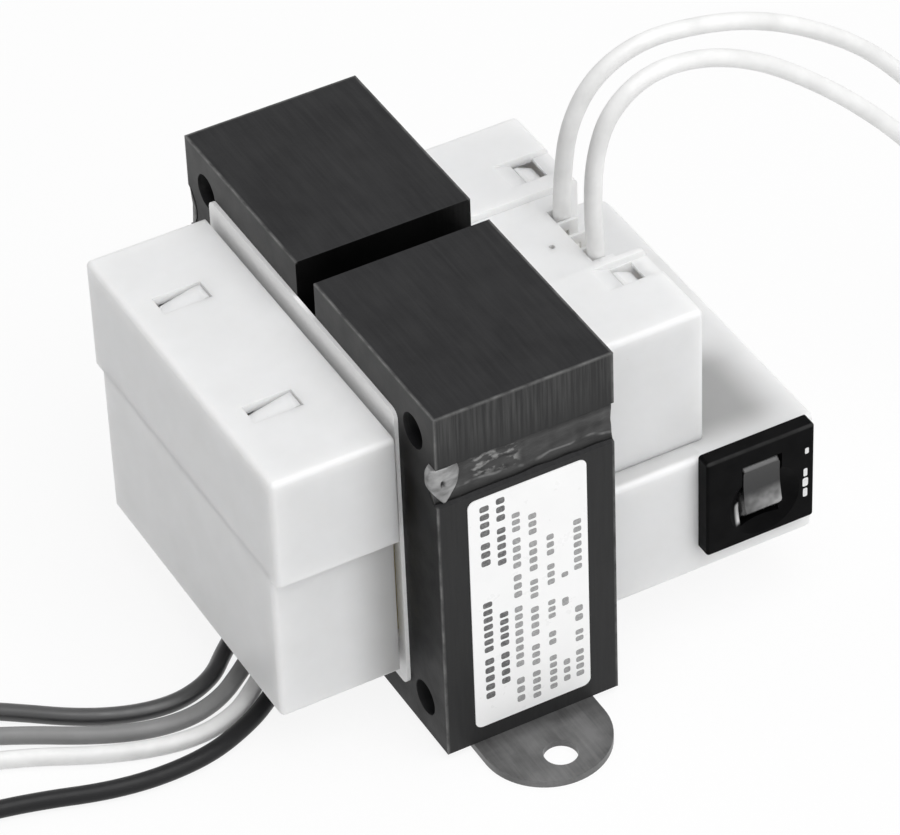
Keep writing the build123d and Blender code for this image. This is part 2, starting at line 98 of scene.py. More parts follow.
class Surface:
    """A material, with short calls for the textures that feed its shader.

    Texture places are in the row frame in metres, because every node's object sits at the origin."""

    def __init__(self, name, **sockets):
        self.material = bpy.data.materials.new(name)
        self.material.use_nodes = True
        self.tree = self.material.node_tree
        self.shader = self.tree.nodes["Principled BSDF"]
        for socket, value in sockets.items():
            self.set(socket, value)
        self.place = self.add("TexCoord").outputs["Object"]

    def set(self, socket, value):
        self.shader.inputs[socket].default_value = value

    def add(self, kind, links=None, **settings):
        node = self.tree.nodes.new("ShaderNode" + kind)
        for key, value in settings.items():
            setattr(node, key, value)
        for key, value in (links or {}).items():
            if isinstance(value, bpy.types.NodeSocket):
                self.tree.links.new(value, node.inputs[key])
            else:
                node.inputs[key].default_value = value
        return node

    def feed(self, socket, source):
        self.tree.links.new(source, self.shader.inputs[socket])

    def noise(self, size, detail=3, stretch=(1, 1, 1)):
        """Noise whose features are about size millimetres, divided by stretch along each axis."""
        place = self.add("VectorMath", {0: self.place, 1: stretch}, operation="MULTIPLY")
        node = self.add("TexNoise", {
            "Vector": place.outputs["Vector"], "Scale": 1 / (size * MM), "Detail": detail,
            "Roughness": noise_roughness,
        })
        return node.outputs["Fac"]

    def math(self, operation, first, second=0.5):
        """Joins two values; an operation on one value leaves out the second."""
        node = self.add("Math", {0: first, 1: second}, operation=operation)
        return node.outputs["Value"]

    def spread(self, value, low, high, to_low=0.0, to_high=1.0, smooth=False):
        node = self.add("MapRange", {
            "Value": value, "From Min": low, "From Max": high, "To Min": to_low, "To Max": to_high,
        }, interpolation_type="SMOOTHSTEP" if smooth else "LINEAR")
        return node.outputs["Result"]

    def ramp(self, value, *stops):
        """Greys between places of a value: each stop is (place, grey) or (place, (red, green, blue))."""
        node = self.add("ValToRGB", {"Fac": value})
        band = node.color_ramp
        while len(band.elements) < len(stops):
            band.elements.new(0.5)
        for element, (place, tone) in zip(band.elements, stops):
            element.position = place
            element.color = (*tone, 1) if isinstance(tone, tuple) else grey(tone)
        return node.outputs["Color"]

    def mixed(self, factor, first, second):
        node = self.add("Mix", data_type="RGBA")
        for index, value in ((mix_factor, factor), (mix_first, first), (mix_second, second)):
            if isinstance(value, bpy.types.NodeSocket):
                self.tree.links.new(value, node.inputs[index])
            else:
                node.inputs[index].default_value = value
        return node.outputs[mix_result]

    def axis(self, letter):
        if not hasattr(self, "axes"):
            self.axes = self.add("SeparateXYZ", {"Vector": self.place})
        return self.axes.outputs[letter]

    def facing(self, letter):
        """How far the surface faces along an axis of the row frame, from -1 to 1."""
        if not hasattr(self, "normals"):
            source = self.add("TexCoord").outputs["Normal"]
            self.normals = self.add("SeparateXYZ", {"Vector": source})
        return self.normals.outputs[letter]

    def bump(self, *layers):
        """Each layer is (height, millimetres)."""
        under = None
        for height, depth in layers:
            links = {"Height": height, "Distance": depth * MM, "Strength": 1.0}
            if under is not None:
                links["Normal"] = under
            under = self.add("Bump", links).outputs["Normal"]
        self.feed("Normal", under)

    def box(self, x, y, z, soft):
        """1 inside a box with limits in millimetres, falling to 0 over soft millimetres outside it."""
        inside = None
        for letter, (low, high) in zip("XYZ", (x, y, z)):
            at = self.axis(letter)
            rise = self.spread(at, (low - soft) * MM, low * MM, smooth=True)
            fall = self.spread(at, high * MM, (high + soft) * MM, 1.0, 0.0, smooth=True)
            both = self.math("MULTIPLY", rise, fall)
            inside = both if inside is None else self.math("MULTIPLY", inside, both)
        return inside


def nylon(name, tone, cover=False):
    """Natural white nylon as moulded: cloudy, translucent, satin, with a very fine texture."""
    s = Surface(name, Roughness=0.42, IOR=1.53)
    cloud = s.noise(9, detail=4)
    colour = s.ramp(cloud, (0.3, (tone * 0.95, tone * 0.95, tone * 0.945)), (0.7, (tone, tone, tone)))
    specks = s.spread(s.noise(0.5, detail=2), 0.76, 0.8, 0.0, 0.25)
    colour = s.mixed(specks, colour, (0.45, 0.44, 0.42, 1))
    if cover:
        # Painted shade from the dark breaker case and the upper cover on the shelf's roof
        colour = s.mixed(roof_shade(s), colour, grey(0.2))
        # Painted shade from the dark core on the left cover's front
        colour = s.mixed(core_shade(s), colour, grey(0.12))
        # Painted shade in the gate mark's small pin hole on the right cover's top
        gate_hole_shade = s.box((24.9, 25.1), (-2.1, -1.9), (50, 56), 0.45)
        colour = s.mixed(gate_hole_shade, colour, grey(0.03))
    s.feed("Base Color", colour)
    s.feed("Roughness", s.spread(s.noise(4, detail=3), 0.3, 0.7, 0.36, 0.48))
    s.set("Subsurface Weight", 0.75)
    s.set("Subsurface Radius", (1.0, 0.97, 0.93))
    s.set("Subsurface Scale", 0.0042)
    s.bump((s.noise(0.25, detail=2), 0.006), (s.noise(6, detail=2), 0.03))
    return s.material


def roof_shade(s):
    """Painted shade on the shelf's thin roof: the dark breaker case showing through, most at the upper
    cover's corner, and the upper cover's shadow on a strip along the front.
    """
    below_top = s.spread(s.axis("Z"), 0.034, 0.0345, 1.0, 0.0)
    upward = s.math("MULTIPLY", s.spread(s.facing("Z"), 0.7, 0.98), below_top)
    over_case = s.spread(s.box((36, 43.5), (-24, -14), (32, 34), 9), 0.0, 1.0, 0.1, 0.8)
    # Painted shadow of the upper cover on a strip along the roof's front
    shadow_strip = s.math("MULTIPLY", s.box((10, 33), (-29.6, -27), (32, 34), 1.2), 0.4)
    return s.math("MULTIPLY", upward, s.math("MAXIMUM", over_case, shadow_strip))


def core_shade(s):
    """Painted shade on the left cover's front where it comes near the dark core, which shows through."""
    forward = s.spread(s.facing("Y"), -0.98, -0.7, 1.0, 0.0)
    nearness = s.spread(s.axis("X"), -0.0255, -0.0162, 0.0, 1.0, smooth=True)
    nearness = s.math("MULTIPLY", nearness, s.spread(s.axis("X"), 0.0, 0.001, 1.0, 0.0))
    low = s.spread(s.axis("Z"), 0.036, 0.0375, 0.46, 0.18)
    return s.math("MULTIPLY", s.math("MULTIPLY", forward, nearness), low)


def lamination(name):
    """Edges of half-millimetre steel sheets under thin black varnish; the sheets lie flat to X."""
    s = Surface(name, Roughness=0.45)
    s.set("Specular IOR Level", 0.13)
    sheet = s.noise(0.6, detail=1, stretch=(1, 0.02, 0.02))
    streak = s.noise(1.6, detail=4, stretch=(2.0, 0.16, 0.16))
    patch = s.noise(7, detail=4)
    colour = s.ramp(s.math("ADD", s.math("MULTIPLY", streak, 0.45), s.math("MULTIPLY", patch, 0.55)),
                    (0.36, (0.011, 0.011, 0.012)), (0.64, (0.022, 0.022, 0.023)))
    # Painted light: faces looking along Y painted lighter, with lines of painted sheen high on the
    # yokes' outer ends
    end_face = s.spread(s.math("ABSOLUTE", s.facing("Y")), 0.7, 0.95)
    outer = s.spread(s.math("ABSOLUTE", s.axis("Y")), 0.02, 0.03)
    colour = s.mixed(s.math("MULTIPLY", end_face, 0.5), colour, grey(0.036))
    thin = s.math("MULTIPLY", s.math("MULTIPLY", end_face, outer), s.spread(s.axis("Z"), 0.0545, 0.06))
    lines = s.spread(s.noise(0.9, detail=3, stretch=(1.6, 0.03, 0.06)), 0.4, 0.68, 0.05, 0.5)
    colour = s.mixed(s.math("MULTIPLY", thin, lines), colour, (0.1, 0.1, 0.099, 1))
    # Painted shade in the slot between the yokes
    in_slot = s.spread(s.math("ABSOLUTE", s.axis("Y")), 0.003, 0.004, 1.0, 0.0)
    slot_shade = s.math("MULTIPLY", end_face, in_slot)
    colour = s.mixed(slot_shade, colour, grey(0.002))
    # The flat faces: painted light near the top and painted shade below
    flat_face = s.spread(s.math("ABSOLUTE", s.facing("X")), 0.7, 0.95)
    high = s.spread(s.axis("Z"), 0.054, 0.06, 0.0, 0.8)
    colour = s.mixed(s.math("MULTIPLY", flat_face, high), colour, grey(0.062))
    low = s.spread(s.axis("Z"), 0.048, 0.05, 0.75, 0.0)
    colour = s.mixed(s.math("MULTIPLY", flat_face, low), colour, (0.005, 0.005, 0.0055, 1))
    # Edges painted lighter: partly wear rubbed through to metal, partly a painted highlight
    edge_light_start, edge_light_full = 0.45, 0.05
    near_x, near_y, near_z = (
        s.spread(s.math("ABSOLUTE", s.axis(letter)), (size - edge_light_start) * MM, (size - edge_light_full) * MM)
        for letter, size in (("X", half_stack), ("Y", core_half_length), ("Z", core_top))
    )
    edges = s.math("MAXIMUM", s.math("MULTIPLY", near_x, near_y), s.math("MULTIPLY", near_y, near_z))
    edges = s.math("MAXIMUM", edges, s.math("MULTIPLY", near_x, near_z))
    wear_and_highlight = s.spread(s.noise(2.5, detail=4), 0.35, 0.65, 0.25, 0.95)
    colour = s.mixed(s.math("MULTIPLY", edges, wear_and_highlight), colour, (0.17, 0.17, 0.168, 1))
    s.feed("Base Color", colour)
    s.feed("Roughness", s.spread(patch, 0.3, 0.7, 0.38, 0.55))
    s.bump((sheet, 0.03), (s.noise(0.5, detail=3), 0.012))
    return s.material


def weld_metal(name, low, high, shine, painted_shade_and_glints=False, pit=False):
    """Rippled weld metal; the varnish over most of it makes it dark and glossy. When asked, it also gets
    painted shade along the groove's lips, a painted highlight streak low on the bead and a patch of
    painted glints on the front bead.
    """
    s = Surface(name, Metallic=0.35, Roughness=shine)
    rough = s.noise(1.6, detail=4, stretch=(0.4, 1, 1))
    colour = s.ramp(rough, (0.36, low), (0.68, high))
    if painted_shade_and_glints:
        # Painted shade along both lips of the groove
        lip_shade = s.spread(s.math("ABSOLUTE", s.math("SUBTRACT", s.axis("Z"), 0.0519)), 0.0019, 0.0028)
        colour = s.mixed(lip_shade, colour, grey(0.008))
        # A painted highlight streak along the lower part of the bead
        wave = s.spread(s.noise(9, detail=2), 0.3, 0.7, -0.0006, 0.0006)
        off_line = s.math("SUBTRACT", s.math("ADD", s.axis("Z"), wave), 0.0502)
        streak = s.spread(s.math("ABSOLUTE", off_line), 0.0001, 0.0003, 1.0, 0.0)
        streak = s.math("MULTIPLY", streak, s.spread(s.noise(3, detail=2), 0.4, 0.55, 0.0, 0.6))
        colour = s.mixed(streak, colour, grey(0.22))
        # Painted glints in a patch on the front bead
        glints = s.spread(s.noise(1.1, detail=4, stretch=(0.55, 1, 1)), 0.5, 0.62)
        glints = s.math("MULTIPLY", glints, s.box((-7.5, -1.5), (-38.5, -30), (51.6, 54.2), 1.6))
        colour = s.mixed(s.math("MULTIPLY", glints, 0.8), colour, (0.3, 0.3, 0.295, 1))
    if pit:
        dark_pit = s.box((-13.4, -13.2), (-39, -30), (52.5, 52.8), 0.4)
        colour = s.mixed(dark_pit, colour, grey(0.02))
    s.feed("Base Color", colour)
    s.feed("Roughness", s.spread(rough, 0.3, 0.7, shine - 0.06, shine + 0.15))
    s.bump((s.noise(0.9, detail=3, stretch=(0.4, 1, 1)), 0.08), (s.noise(0.25, detail=2), 0.01))
    return s.material


def strip_steel(name):
    """Cold-rolled strip under a thin dark varnish, with marks along its length."""
    s = Surface(name, Metallic=0.55, Roughness=0.4)
    grain = s.noise(0.5, detail=3, stretch=(1, 0.05, 1))
    blotch = s.noise(6, detail=4)
    mix = s.math("ADD", s.math("MULTIPLY", grain, 0.3), s.math("MULTIPLY", blotch, 0.7))
    s.feed("Base Color", s.ramp(mix, (0.35, 0.1), (0.65, 0.2)))
    s.feed("Roughness", s.spread(blotch, 0.3, 0.7, 0.36, 0.52))
    s.bump((grain, 0.006), (s.noise(1.5, detail=3), 0.015))
    return s.material


def insulation(name, tone, gloss=0.5):
    """PVC on a lead: semi-gloss, slightly uneven."""
    s = Surface(name, Roughness=0.38)
    s.set("Specular IOR Level", gloss)
    cloud = s.noise(5, detail=3)
    s.feed("Base Color", s.ramp(cloud, (0.3, tuple(c * 0.88 for c in tone)), (0.7, tone)))
    s.feed("Roughness", s.spread(s.noise(2, detail=2), 0.3, 0.7, 0.32, 0.46))
    s.bump((s.noise(2.2, detail=2), 0.012), (s.noise(0.2, detail=2), 0.002))
    return s.material


def sheet_insulation(name):
    """White insulation board: faint fibres, matt."""
    s = Surface(name, Roughness=0.55)
    fibre = s.noise(0.6, detail=4, stretch=(1, 0.3, 1))
    s.feed("Base Color", s.ramp(fibre, (0.3, 0.94), (0.7, 0.99)))
    s.feed("Roughness", s.spread(fibre, 0.3, 0.7, 0.5, 0.62))
    s.bump((fibre, 0.01))
    return s.material


def film(name):
    """White label film with a soft sheen."""
    s = Surface(name, Roughness=0.3)
    cloud = s.noise(8, detail=3)
    s.feed("Base Color", s.ramp(cloud, (0.3, 0.95), (0.7, 0.98)))
    s.feed("Roughness", s.spread(s.noise(3), 0.3, 0.7, 0.26, 0.36))
    s.bump((s.noise(2.5, detail=2), 0.01))
    return s.material


def ink(name, tone):
    """Printing, thinner in places."""
    s = Surface(name, Roughness=0.4)
    s.feed("Base Color", s.ramp(s.noise(0.35, detail=2), (0.4, tone), (0.7, tone + 0.12)))
    return s.material


def bezel_black(name):
    """Black thermoset, with a painted highlight as a lighter line along the top front edge."""
    s = Surface(name, Roughness=0.4)
    s.set("Specular IOR Level", 0.03)
    cloud = s.noise(3, detail=3)
    colour = s.ramp(cloud, (0.3, (0.0025, 0.0025, 0.0027)), (0.7, (0.005, 0.005, 0.0053)))
    # Painted highlight along the top front edge, broken up
    forward = s.spread(s.axis("Y"), -0.0333, -0.0331, 1.0, 0.0)
    top = s.math("MULTIPLY", s.spread(s.axis("Z"), 0.0319, 0.0322), forward)
    edge_highlight = s.math("MULTIPLY", top, s.spread(s.noise(4, detail=3), 0.3, 0.6, 0.3, 0.9))
    colour = s.mixed(edge_highlight, colour, grey(0.035))
    # A painted highlight: the light crescent at the foot of the button's dish
    crescent_highlight = s.math("MULTIPLY", s.box((38.1, 38.5), (-33.3, -30), (18.8, 21.4), 0.8), 0.9)
    colour = s.mixed(crescent_highlight, colour, grey(0.75))
    s.feed("Base Color", colour)
    s.feed("Roughness", s.spread(cloud, 0.3, 0.7, 0.34, 0.46))
    s.bump((s.noise(0.22, detail=2), 0.006))
    return s.material


def button_black(name):
    """Glossy black plastic with painted reflection in patches, most on the lower half of its face, a
    painted highlight along its top ridge, and handling marks in its roughness.
    """
    s = Surface(name, Roughness=0.18)
    smudges_and_reflection = s.noise(3.2, detail=2)
    # Painted reflection in patches, most on the lower half of the face and towards its right
    low = s.box((39, 48), (-36, -28), (20.6, 22.2), 2.2)
    rightward = s.spread(s.axis("X"), 0.0385, 0.0445, 0.35, 1.0)
    share = s.math("MULTIPLY", s.math("MULTIPLY", low, rightward), s.spread(smudges_and_reflection, 0.36, 0.6, 0.25, 0.9))
    # Painted highlight along the top ridge
    ridge_highlight = s.math("MULTIPLY", s.box((38, 46), (-36, -30), (28.3, 30), 0.35), 0.25)
    share = s.math("MAXIMUM", share, ridge_highlight)
    s.feed("Base Color", s.mixed(share, (0.014, 0.014, 0.0145, 1), grey(0.36)))
    s.feed("Roughness", s.spread(smudges_and_reflection, 0.3, 0.7, 0.14, 0.26))
    s.bump((s.noise(1.5, detail=2), 0.006), (s.noise(0.25, detail=2), 0.002))
    return s.material


def enamelled_wire(name):
    """Rows of enamelled copper turns."""
    s = Surface(name, Metallic=1.0, Roughness=0.3)
    rows = s.noise(0.5, detail=1, stretch=(0.05, 0.05, 1))
    s.feed("Base Color", s.ramp(rows, (0.35, (0.24, 0.09, 0.035)), (0.65, (0.6, 0.28, 0.13))))
    s.bump((rows, 0.1))
    return s.material


def tape(name):
    """Clear yellow tape over the windings, slightly wrinkled."""
    s = Surface(name, Roughness=0.28)
    cloud = s.noise(4, detail=3)
    s.feed("Base Color", s.ramp(cloud, (0.3, (0.62, 0.52, 0.2)), (0.7, (0.74, 0.66, 0.34))))
    s.bump((s.noise(2, detail=3, stretch=(0.4, 0.4, 1)), 0.03))
    return s.material


def bright_metal(name, low, high):
    """Plain metal between two tones, faintly dulled in patches."""
    s = Surface(name, Metallic=1.0, Roughness=0.3)
    cloud = s.noise(1.2, detail=4)
    s.feed("Base Color", s.ramp(cloud, (0.3, low), (0.7, high)))
    s.feed("Roughness", s.spread(cloud, 0.3, 0.7, 0.25, 0.42))
    s.bump((s.noise(0.3, detail=2), 0.008))
    return s.material


look = {
    "core_steel": lamination("core_steel"),
    "weld_steel": weld_metal("weld_steel", 0.022, 0.06, 0.34, painted_shade_and_glints=True),
    "foot_steel": strip_steel("foot_steel"),
    "bobbin_nylon": nylon("bobbin_nylon", 0.95),
    "winding_copper": enamelled_wire("winding_copper"),
    "wrap_tape": tape("wrap_tape"),
    "barrier_sheet": sheet_insulation("barrier_sheet"),
    "cover_nylon": nylon("cover_nylon", 0.88, cover=True),
    "breaker_black": bezel_black("breaker_black"),
    "button_black": button_black("button_black"),
    "terminal_brass": bright_metal("terminal_brass", (0.5, 0.42, 0.26), (0.68, 0.6, 0.42)),
    "label_film": film("label_film"),
    "lead_dark_grey": insulation("lead_dark_grey", (0.035, 0.035, 0.036), 0.8),
    "lead_grey": insulation("lead_grey", (0.25, 0.25, 0.25), 0.4),
    "lead_white": insulation("lead_white", (0.89, 0.89, 0.885)),
    "lead_black": insulation("lead_black", (0.016, 0.016, 0.017), 0.2),
    "conductor_copper": bright_metal("conductor_copper", (0.55, 0.53, 0.5), (0.8, 0.78, 0.74)),
}
weld_bright = weld_metal("weld_bright", 0.16, 0.42, 0.42, pit=True)
ink_dark = ink("ink_dark", 0.09)
ink_soft = ink("ink_soft", 0.3)
ink_white = ink("ink_white", 0.72)

for part in frame["record"]["subparts"]:
    node = frame["nodes"][part["node"]]
    node.data.materials.clear()
    node.data.materials.append(look[part["material_slot"]])


# Pieces

def place(piece, slot, material, body="transformer"):
    scene.collection.objects.link(piece)
    piece.data.materials.append(material)
    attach(piece, body)
    return piece


def mesh_piece(name, bm, slot, material, smooth=True):
    mesh = bpy.data.meshes.new(name)
    bm.normal_update()
    bm.to_mesh(mesh)
    bm.free()
    for face in mesh.polygons:
        face.use_smooth = smooth
    return place(bpy.data.objects.new(name, mesh), slot, material)


lead_z = 1.4
lead_d = 2.7
conductor_d = 1.2
conductor_length = 9.0
# Each lead is (slot, where it leaves its cover, length of its insulation, route), in millimetres
leads = {
    "primary_lead_1": ("lead_dark_grey", (-25, 4.5, 10), 163.3, [
        (-25, 4.5, 13.8), (-25, 4.5, 9.4), (-25.3, 4.2, 5), (-27.6, 2.2, lead_z),
        (-31.9, -1.3, lead_z), (-37, -6.5, lead_z), (-45, -8.5, lead_z), (-55.5, -5, lead_z),
        (-67, 4, lead_z), (-80.5, 13, lead_z), (-98, 18, lead_z), (-116, 14.5, lead_z),
        (-130.5, 3.5, lead_z), (-138, -13, lead_z), (-138.5, -29, lead_z)]),
    "primary_lead_2": ("lead_grey", (-25, 0.1, 10), 167.9, [
        (-25, 0.1, 13.8), (-25, 0.1, 9.4), (-25.2, -0.3, 5), (-27.2, -2.6, lead_z),
        (-31.8, -6.6, lead_z), (-38, -11, lead_z), (-45.5, -12.3, lead_z), (-55, -9.5, lead_z),
        (-68.5, -1, lead_z), (-83.5, 5.5, lead_z), (-100, 6, lead_z), (-114.5, -1.5, lead_z),
        (-123.5, -15.5, lead_z), (-126, -32, lead_z), (-122.5, -47, lead_z), (-115.5, -56, lead_z)]),
    "primary_lead_3": ("lead_white", (-25, -4.3, 10), 166.1, [
        (-25, -4.3, 13.8), (-25, -4.3, 9.4), (-25.2, -4.7, 5), (-27.2, -6.7, lead_z),
        (-31.2, -10.3, lead_z), (-37, -14.8, lead_z), (-45, -16.5, lead_z), (-56, -13.5, lead_z),
        (-70.5, -5.5, lead_z), (-85.5, -1.5, lead_z), (-99.5, -4.5, lead_z), (-109.5, -15, lead_z),
        (-113.5, -29.5, lead_z), (-111.5, -45, lead_z), (-103.5, -58.5, lead_z),
        (-91.5, -68, lead_z)]),
    "primary_lead_4": ("lead_black", (-25, -8.7, 10), 160.7, [
        (-25, -8.7, 13.8), (-25, -8.7, 9.4), (-25.1, -9, 5), (-26.8, -10.7, lead_z),
        (-30.2, -13.5, lead_z), (-36.2, -17.6, lead_z), (-45.5, -20.9, lead_z),
        (-58, -20.5, lead_z), (-72, -15.5, lead_z), (-85.5, -13, lead_z), (-96, -19.5, lead_z),
        (-101, -31.5, lead_z), (-100, -45.5, lead_z), (-92, -58.5, lead_z), (-78.5, -67.5, lead_z),
        (-62.5, -71, lead_z)]),
    "secondary_lead_1": ("lead_white", (30, 4.1, 54.7), 179.9, [
        (30, 4.1, 44.5), (30, 4.1, 52.5), (30.4, 4.1, 62), (31.6, 4.1, 70.5), (35.8, 4.1, 77.5),
        (43.5, 4.1, 81), (53, 4.1, 80.2), (62.5, 4.1, 77.7), (72.5, 4.1, 72.6), (84, 4.1, 64),
        (95, 4.1, 50.5), (103.5, 4.3, 34.5), (110.5, 4.8, 18.5), (119.5, 5.4, 6.5),
        (131.5, 6.4, lead_z), (143.5, 9.5, lead_z)]),
    "secondary_lead_2": ("lead_white", (30, -6.4, 54.7), 176.5, [
        (30, -6.4, 44.5), (30, -6.4, 53), (29.4, -6.4, 62.5), (29.8, -6.4, 71.5), (32.2, -6.4, 79),
        (38.5, -6.4, 83.6), (47, -6.4, 83.3), (56, -6.4, 79.6), (64.5, -6.4, 73.5), (75, -6.4, 64),
        (86, -6.4, 51.5), (94.5, -6.6, 36.5), (101, -7.2, 20.5), (109, -8.1, 8),
        (121, -9.8, lead_z), (133, -13, lead_z)]),
}


def strand_bundle(name, start, towards):
    """Stripped conductor: six fine wires twisted round a seventh, in the space of the CAD solid."""
    along = (Vector(towards) - Vector(start)).normalized()
    side = along.orthogonal().normalized()
    other = along.cross(side)
    wire_r = conductor_d / 6
    outer_wires, steps, sides, twist = 6, 24, 8, 0.8
    bm = bmesh.new()
    for wire in range(outer_wires + 1):
        orbit = 0 if wire == 0 else 2 * wire_r
        rings = []
        for step in range(steps + 1):
            share = step / steps
            turn = wire * math.tau / outer_wires + share * math.tau * twist
            middle = Vector(start) + along * conductor_length * share
            middle += (side * math.cos(turn) + other * math.sin(turn)) * orbit
            rings.append([
                bm.verts.new((middle + (side * math.cos(a) + other * math.sin(a)) * wire_r) * MM)
                for a in (k * math.tau / sides for k in range(sides))
            ])
        for low, high in zip(rings, rings[1:]):
            for k in range(sides):
                after = (k + 1) % sides
                bm.faces.new((low[k], low[after], high[after], high[k]))
        bm.faces.new(reversed(rings[0]))
        bm.faces.new(rings[-1])
    return mesh_piece(name, bm, "conductor_copper", look["conductor_copper"])


for name, (slot, leaves, length, route) in leads.items():
    data = bpy.data.curves.new(name + "_wire", "CURVE")
    data.dimensions = "3D"
    data.bevel_depth = lead_d / 2 * MM
    data.bevel_resolution = 5
    data.resolution_u = 10
    data.use_fill_caps = True
    spline = data.splines.new("NURBS")
    spline.points.add(len(route) - 1)
    for point, at in zip(spline.points, route):
        point.co = (at[0] * MM, at[1] * MM, at[2] * MM, 1)
    spline.order_u = 3
    spline.use_endpoint_u = True
    wire = place(bpy.data.objects.new(name + "_wire", data), slot, look[slot])
    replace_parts(wire, name)
    beyond = Vector(route[-1]) * 2 - Vector(route[-2])
    end = strand_bundle(name + "_strands", route[-1], beyond)
    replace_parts(end, name + "_end")


# Welds in the grooves across the stack's ends

groove_r = 4.0
groove_axis_y = 39.8
groove_z = 52.0
bead_high = 1.35
bead_sunk = 0.3
bead_half_angle = 55
ripple_rate = 2.6
ripple_depth = 0.05
nugget_x = 12.9
nugget_y = 36.9
nugget_half_width = 2.65
nugget_above = 3.2
nugget_below = 3.75


def weld_bead(name, side):
    """Rippled bead that lies in the groove, with its back sunk in the steel; side is -1 at the front."""
    bm = bmesh.new()
    along, across = 90, 16
    rings = []
    for i in range(along + 1):
        x = -half_stack + 2 * half_stack * i / along
        front, back = [], []
        for k in range(across + 1):
            share = 2 * k / across - 1
            spread = bead_half_angle + 4 * noise.noise((x * 0.25, share, 3 + side))
            angle = share * math.radians(spread)
            crown = (1 - abs(share) ** 2.6) * bead_high
            wave = math.sin(x * ripple_rate + 1.6 * share * share + 2 * noise.noise((x * 0.4, 0, 0)))
            ripple = 1 - ripple_depth + ripple_depth * wave
            lumps = 0.4 * noise.noise((x * 0.22, share * 1.6, 7 * side)) * (1 - share * share)
            crest = groove_r - crown * ripple - lumps
            for radius, row in ((crest, front), (groove_r + bead_sunk, back)):
                row.append(bm.verts.new((
                    x * MM,
                    side * (groove_axis_y - radius * math.cos(angle)) * MM,
                    (groove_z + radius * math.sin(angle)) * MM,
                )))
        rings.append(front + back[::-1])
    for low, high in zip(rings, rings[1:]):
        for k, corner in enumerate(low):
            bm.faces.new((corner, low[k - 1], high[k - 1], high[k]))
    bm.faces.new(rings[0])
    bm.faces.new(rings[-1])
    bmesh.ops.recalc_face_normals(bm, faces=bm.faces)
    return mesh_piece(name, bm, "weld_steel", look["weld_steel"])


def weld_nugget(name, side):
    """Swollen start of the weld, a shield-shaped drop that fills the groove's end, with a small pit."""
    bm = bmesh.new()
    bmesh.ops.create_icosphere(bm, subdivisions=5, radius=1)
    for v in bm.verts:
        at = v.co.copy()
        out = at.y * side
        below = min(max((0.6 - at.z) / 1.6, 0), 1)
        narrow = 1.06 - 0.82 * below ** 1.5
        lumps = 1 + 0.05 * noise.noise(at * 2.3 + Vector((5, 5, 5)))
        from_pit = (at.x - side * 0.15) ** 2 + (at.z - 0.08) ** 2
        pit = 0.7 * math.exp(-from_pit / 0.015) if out > 0 else 0
        proud = (out ** 0.4 if out > 0 else out) * (1.5 - 0.25 * below) * lumps - pit
        # Its top is flat, at the groove's upper lip
        height = min(at.z / 0.7, 1) * nugget_above if at.z > 0 else at.z * nugget_below
        v.co = Vector((
            (side * nugget_x + at.x * nugget_half_width * narrow * lumps) * MM,
            side * (nugget_y + proud) * MM,
            (groove_z + 0.35 + height) * MM,
        ))
    return mesh_piece(name, bm, "weld_steel", weld_bright)


for side, end in ((-1, "front"), (1, "rear")):
    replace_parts(weld_bead(f"weld_{end}_ripples", side), f"weld_bead_{end}")
    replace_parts(weld_nugget(f"weld_{end}_nugget", side), f"weld_bead_{end}")


# Printing on the label and beside the button: plain bars and dots in place of words and marks

label_face_y = -38.25
label_low = 4.1
label_high = 47.5
dash_pitch = 1.5
dash_share = 0.7
print_thick = 0.03
print_lift = 0.01
corner_share = 0.3
# Each line is (x, bar width, ink, runs), and a run is its two ends as shares of the label's height
print_lines = [
    (-7.0, 1.5, ink_dark, [(0.03, 0.17), (0.19, 0.3), (0.45, 0.68), (0.7, 0.89)]),
    (-4.4, 1.4, ink_dark, [(0.02, 0.13), (0.15, 0.32), (0.52, 0.68), (0.7, 0.85)]),
    (-2.0, 1.3, ink_soft, [(0.11, 0.2), (0.22, 0.36), (0.38, 0.49), (0.52, 0.8), (0.84, 0.96)]),
    (0.65, 1.3, ink_soft, [(0.14, 0.24), (0.26, 0.4), (0.43, 0.52), (0.55, 0.69), (0.72, 0.82),
                           (0.84, 0.97)]),
    (3.45, 1.2, ink_soft, [(0.26, 0.36), (0.39, 0.49), (0.55, 0.64), (0.69, 0.76), (0.8, 0.96)]),
    (5.7, 1.1, ink_soft, [(0.45, 0.48), (0.56, 0.61), (0.84, 0.95)]),
    (7.9, 1.3, ink_soft, [(0.24, 0.47), (0.62, 0.7), (0.73, 0.79), (0.82, 0.95)]),
]
breaker_marks_y = -33.52
breaker_marks = [
    (49.5, 27.8, 0.65, 1.1), (49.3, 23.7, 0.65, 1.5), (49.3, 21.8, 0.95, 1.6), (49.3, 19.8, 0.75, 1.6),
]


def flat_bars(name, bars, y, material, slot):
    """Thin bars that lie on a face looking to -Y; each is (x, z, width, height) in millimetres."""
    bm = bmesh.new()
    for x, z, width, height in bars:
        soft = min(width, height) * corner_share
        outline = []
        for cx, cz, start in ((1, 1, 0), (-1, 1, 1), (-1, -1, 2), (1, -1, 3)):
            for k in range(4):
                turn = (start + k / 3) * math.pi / 2
                outline.append((
                    x + cx * (width / 2 - soft) + soft * math.cos(turn),
                    z + cz * (height / 2 - soft) + soft * math.sin(turn),
                ))
        front, back = ([bm.verts.new((px * MM, at_y * MM, pz * MM)) for px, pz in outline]
                       for at_y in (y, y + print_thick))
        bm.faces.new(front)
        bm.faces.new(back[::-1])
        for k in range(len(outline)):
            bm.faces.new((front[k], front[k - 1], back[k - 1], back[k]))
    return mesh_piece(name, bm, slot, material, smooth=False)


